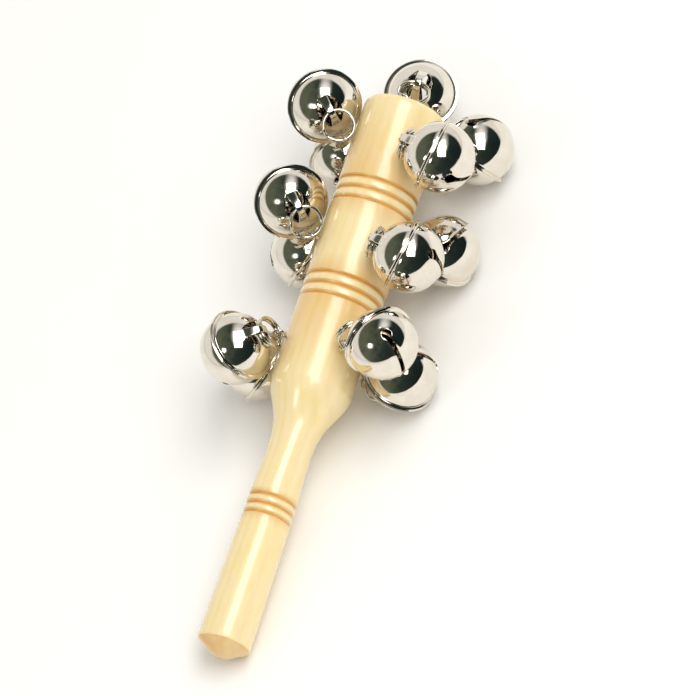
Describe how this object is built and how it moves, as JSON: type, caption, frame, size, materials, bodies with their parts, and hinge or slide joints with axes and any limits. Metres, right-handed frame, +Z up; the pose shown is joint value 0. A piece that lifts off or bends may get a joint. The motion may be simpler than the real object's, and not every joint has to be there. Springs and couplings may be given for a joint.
{
  "type": "jingle stick",
  "caption": "Turned wooden shaker stick whose cylindrical head carries jingle bells on split rings and screw eyes in tiers and on its end.",
  "frame": {"origin": "under the middle of the object, on the table that it lies on", "axes": "+Z up, +Y along the stick towards the head, +X to the right of someone who looks along the stick from its butt"},
  "size_m": [0.0906, 0.2548, 0.0633],
  "materials": {
    "lacquered_wood": "clear gloss lacquer on pale turned wood",
    "bell_nickel": "bright nickel plate",
    "ring_steel": "bright nickel plate",
    "eye_steel": "bright plated steel",
    "pellet_steel": "plain steel"
  },
  "bodies": {
    "root": {"turned_stick": "lacquered_wood", "screw_eye_lower_1": "eye_steel", "screw_eye_lower_2": "eye_steel", "screw_eye_lower_3": "eye_steel", "screw_eye_lower_4": "eye_steel", "screw_eye_middle_1": "eye_steel", "screw_eye_middle_2": "eye_steel", "screw_eye_middle_3": "eye_steel", "screw_eye_middle_4": "eye_steel", "screw_eye_upper_1": "eye_steel", "screw_eye_upper_2": "eye_steel", "screw_eye_upper_3": "eye_steel", "screw_eye_upper_4": "eye_steel", "screw_eye_top": "eye_steel"},
    "ring_body_lower_1": {"split_ring_lower_1": "ring_steel"},
    "bell_body_lower_1": {"bell_lower_1": "bell_nickel"},
    "pellet_body_lower_1": {"pellet_lower_1": "pellet_steel"},
    "ring_body_lower_2": {"split_ring_lower_2": "ring_steel"},
    "bell_body_lower_2": {"bell_lower_2": "bell_nickel"},
    "pellet_body_lower_2": {"pellet_lower_2": "pellet_steel"},
    "ring_body_lower_3": {"split_ring_lower_3": "ring_steel"},
    "bell_body_lower_3": {"bell_lower_3": "bell_nickel"},
    "pellet_body_lower_3": {"pellet_lower_3": "pellet_steel"},
    "ring_body_lower_4": {"split_ring_lower_4": "ring_steel"},
    "bell_body_lower_4": {"bell_lower_4": "bell_nickel"},
    "pellet_body_lower_4": {"pellet_lower_4": "pellet_steel"},
    "ring_body_middle_1": {"split_ring_middle_1": "ring_steel"},
    "bell_body_middle_1": {"bell_middle_1": "bell_nickel"},
    "pellet_body_middle_1": {"pellet_middle_1": "pellet_steel"},
    "ring_body_middle_2": {"split_ring_middle_2": "ring_steel"},
    "bell_body_middle_2": {"bell_middle_2": "bell_nickel"},
    "pellet_body_middle_2": {"pellet_middle_2": "pellet_steel"},
    "ring_body_middle_3": {"split_ring_middle_3": "ring_steel"},
    "bell_body_middle_3": {"bell_middle_3": "bell_nickel"},
    "pellet_body_middle_3": {"pellet_middle_3": "pellet_steel"},
    "ring_body_middle_4": {"split_ring_middle_4": "ring_steel"},
    "bell_body_middle_4": {"bell_middle_4": "bell_nickel"},
    "pellet_body_middle_4": {"pellet_middle_4": "pellet_steel"},
    "ring_body_upper_1": {"split_ring_upper_1": "ring_steel"},
    "bell_body_upper_1": {"bell_upper_1": "bell_nickel"},
    "pellet_body_upper_1": {"pellet_upper_1": "pellet_steel"},
    "ring_body_upper_2": {"split_ring_upper_2": "ring_steel"},
    "bell_body_upper_2": {"bell_upper_2": "bell_nickel"},
    "pellet_body_upper_2": {"pellet_upper_2": "pellet_steel"},
    "ring_body_upper_3": {"split_ring_upper_3": "ring_steel"},
    "bell_body_upper_3": {"bell_upper_3": "bell_nickel"},
    "pellet_body_upper_3": {"pellet_upper_3": "pellet_steel"},
    "ring_body_upper_4": {"split_ring_upper_4": "ring_steel"},
    "bell_body_upper_4": {"bell_upper_4": "bell_nickel"},
    "pellet_body_upper_4": {"pellet_upper_4": "pellet_steel"},
    "ring_body_top": {"split_ring_top": "ring_steel"},
    "bell_body_top": {"bell_top": "bell_nickel"},
    "pellet_body_top": {"pellet_top": "pellet_steel"}
  },
  "joints": [
    {"name": "ring_swing_lower_1", "type": "hinge", "parent": "root", "child": "ring_body_lower_1", "pos_m": [0.01257, -0.00513, 0.03641], "axis": [0.2858, 0.3618, -0.8874], "range_deg": [-20, 8]},
    {"name": "bell_swing_lower_1", "type": "hinge", "parent": "ring_body_lower_1", "child": "bell_body_lower_1", "pos_m": [0.02001, 0.00201, 0.04172], "axis": [0.2858, 0.3618, -0.8874], "range_deg": [-40, 5]},
    {"name": "pellet_roll_lower_1", "type": "slide", "parent": "bell_body_lower_1", "child": "pellet_body_lower_1", "axis": [0, 0, 1], "range_m": [0, 0.016]},
    {"name": "ring_swing_lower_2", "type": "hinge", "parent": "root", "child": "ring_body_lower_2", "pos_m": [0.01119, -0.00216, 0.01038], "axis": [-0.105, -0.8819, 0.4596], "range_deg": [-35, 0]},
    {"name": "bell_swing_lower_2", "type": "hinge", "parent": "ring_body_lower_2", "child": "bell_body_lower_2", "pos_m": [0.01907, -0.00682, 0.00325], "axis": [-0.105, -0.8819, 0.4596], "range_deg": [-60, 0]},
    {"name": "pellet_roll_lower_2", "type": "slide", "parent": "bell_body_lower_2", "child": "pellet_body_lower_2", "axis": [0, 0, 1], "range_m": [0, 0.016]},
    {"name": "ring_swing_lower_3", "type": "hinge", "parent": "root", "child": "ring_body_lower_3", "pos_m": [-0.015, -0.00232, 0.01175], "axis": [-0.2758, 0.8511, -0.4466], "range_deg": [-35, 0]},
    {"name": "bell_swing_lower_3", "type": "hinge", "parent": "ring_body_lower_3", "child": "bell_body_lower_3", "pos_m": [-0.02135, -0.00836, 0.00415], "axis": [-0.2758, 0.8511, -0.4466], "range_deg": [-60, 0]},
    {"name": "pellet_roll_lower_3", "type": "slide", "parent": "bell_body_lower_3", "child": "pellet_body_lower_3", "axis": [0, 0, 1], "range_m": [0, 0.016]},
    {"name": "ring_swing_lower_4", "type": "hinge", "parent": "root", "child": "ring_body_lower_4", "pos_m": [-0.01363, -0.00529, 0.03778], "axis": [0.5306, -0.7914, -0.3035], "range_deg": [-60, 0]},
    {"name": "bell_swing_lower_4", "type": "hinge", "parent": "ring_body_lower_4", "child": "bell_body_lower_4", "pos_m": [-0.01582, -0.01062, 0.04784], "axis": [0.5306, -0.7914, -0.3035], "range_deg": [-90, 0]},
    {"name": "pellet_roll_lower_4", "type": "slide", "parent": "bell_body_lower_4", "child": "pellet_body_lower_4", "axis": [0, 0, 1], "range_m": [0, 0.016]},
    {"name": "ring_swing_middle_1", "type": "hinge", "parent": "root", "child": "ring_body_middle_1", "pos_m": [0.01257, 0.0356, 0.04106], "axis": [0.2264, 0.9565, 0.1838], "range_deg": [-35, 25]},
    {"name": "bell_swing_middle_1", "type": "hinge", "parent": "ring_body_middle_1", "child": "bell_body_middle_1", "pos_m": [0.01695, 0.03258, 0.05137], "axis": [0.2264, 0.9565, 0.1838], "range_deg": [-60, 0]},
    {"name": "pellet_roll_middle_1", "type": "slide", "parent": "bell_body_middle_1", "child": "pellet_body_middle_1", "axis": [0, 0, 1], "range_m": [0, 0.016]},
    {"name": "ring_swing_middle_2", "type": "hinge", "parent": "root", "child": "ring_body_middle_2", "pos_m": [0.01119, 0.03857, 0.01503], "axis": [0.6844, -0.7006, -0.2018], "range_deg": [-35, 0]},
    {"name": "bell_swing_middle_2", "type": "hinge", "parent": "ring_body_middle_2", "child": "bell_body_middle_2", "pos_m": [0.01517, 0.04499, 0.00622], "axis": [0.6844, -0.7006, -0.2018], "range_deg": [-45, 0]},
    {"name": "pellet_roll_middle_2", "type": "slide", "parent": "bell_body_middle_2", "child": "pellet_body_middle_2", "axis": [0, 0, 1], "range_m": [0, 0.016]},
    {"name": "ring_swing_middle_3", "type": "hinge", "parent": "root", "child": "ring_body_middle_3", "pos_m": [-0.015, 0.03842, 0.0164], "axis": [0.2881, 0.9426, -0.1686], "range_deg": [-35, 5]},
    {"name": "bell_swing_middle_3", "type": "hinge", "parent": "ring_body_middle_3", "child": "bell_body_middle_3", "pos_m": [-0.01977, 0.03798, 0.00583], "axis": [0.2881, 0.9426, -0.1686], "range_deg": [-60, 0]},
    {"name": "pellet_roll_middle_3", "type": "slide", "parent": "bell_body_middle_3", "child": "pellet_body_middle_3", "axis": [0, 0, 1], "range_m": [0, 0.016]},
    {"name": "ring_swing_middle_4", "type": "hinge", "parent": "root", "child": "ring_body_middle_4", "pos_m": [-0.01363, 0.03545, 0.04243], "axis": [-0.6424, -0.7525, 0.1454], "range_deg": [-35, 0]},
    {"name": "bell_swing_middle_4", "type": "hinge", "parent": "ring_body_middle_4", "child": "bell_body_middle_4", "pos_m": [-0.01899, 0.04161, 0.05066], "axis": [-0.6424, -0.7525, 0.1454], "range_deg": [-60, 0]},
    {"name": "pellet_roll_middle_4", "type": "slide", "parent": "bell_body_middle_4", "child": "pellet_body_middle_4", "axis": [0, 0, 1], "range_m": [0, 0.016]},
    {"name": "ring_swing_upper_1", "type": "hinge", "parent": "root", "child": "ring_body_upper_1", "pos_m": [0.01257, 0.07584, 0.04565], "axis": [0.2029, 0.9642, 0.171], "range_deg": [-35, 25]},
    {"name": "bell_swing_upper_1", "type": "hinge", "parent": "ring_body_upper_1", "child": "bell_body_upper_1", "pos_m": [0.01593, 0.07322, 0.05644], "axis": [0.2029, 0.9642, 0.171], "range_deg": [-60, 0]},
    {"name": "pellet_roll_upper_1", "type": "slide", "parent": "bell_body_upper_1", "child": "pellet_body_upper_1", "axis": [0, 0, 1], "range_m": [0, 0.016]},
    {"name": "ring_swing_upper_2", "type": "hinge", "parent": "root", "child": "ring_body_upper_2", "pos_m": [0.01119, 0.07881, 0.01963], "axis": [0.8272, -0.5504, -0.1132], "range_deg": [-35, 0]},
    {"name": "bell_swing_upper_2", "type": "hinge", "parent": "ring_body_upper_2", "child": "bell_body_upper_2", "pos_m": [0.01432, 0.08537, 0.01058], "axis": [0.8272, -0.5504, -0.1132], "range_deg": [-45, 0]},
    {"name": "pellet_roll_upper_2", "type": "slide", "parent": "bell_body_upper_2", "child": "pellet_body_upper_2", "axis": [0, 0, 1], "range_m": [0, 0.016]},
    {"name": "ring_swing_upper_3", "type": "hinge", "parent": "root", "child": "ring_body_upper_3", "pos_m": [-0.015, 0.07866, 0.02099], "axis": [0.4231, 0.1407, -0.8951], "range_deg": [-25, 8]},
    {"name": "bell_swing_upper_3", "type": "hinge", "parent": "ring_body_upper_3", "child": "bell_body_upper_3", "pos_m": [-0.02449, 0.07441, 0.01584], "axis": [0.4231, 0.1407, -0.8951], "range_deg": [-45, 8]},
    {"name": "pellet_roll_upper_3", "type": "slide", "parent": "bell_body_upper_3", "child": "pellet_body_upper_3", "axis": [0, 0, 1], "range_m": [0, 0.016]},
    {"name": "ring_swing_upper_4", "type": "hinge", "parent": "root", "child": "ring_body_upper_4", "pos_m": [-0.01363, 0.07569, 0.04702], "axis": [-0.6609, -0.7451, 0.0896], "range_deg": [-35, 0]},
    {"name": "bell_swing_upper_4", "type": "hinge", "parent": "ring_body_upper_4", "child": "bell_body_upper_4", "pos_m": [-0.02056, 0.08258, 0.05326], "axis": [-0.6609, -0.7451, 0.0896], "range_deg": [-60, 0]},
    {"name": "pellet_roll_upper_4", "type": "slide", "parent": "bell_body_upper_4", "child": "pellet_body_upper_4", "axis": [0, 0, 1], "range_m": [0, 0.016]},
    {"name": "ring_swing_top", "type": "hinge", "parent": "root", "child": "ring_body_top", "pos_m": [-0.00122, 0.10055, 0.03598], "axis": [-0.9511, -0.035, 0.307], "range_deg": [-60, 0]},
    {"name": "bell_swing_top", "type": "hinge", "parent": "ring_body_top", "child": "bell_body_top", "pos_m": [-0.00278, 0.11147, 0.0324], "axis": [-0.9511, -0.035, 0.307], "range_deg": [-90, 0]},
    {"name": "pellet_roll_top", "type": "slide", "parent": "bell_body_top", "child": "pellet_body_top", "axis": [0, 0, 1], "range_m": [0, 0.016]}
  ]
}
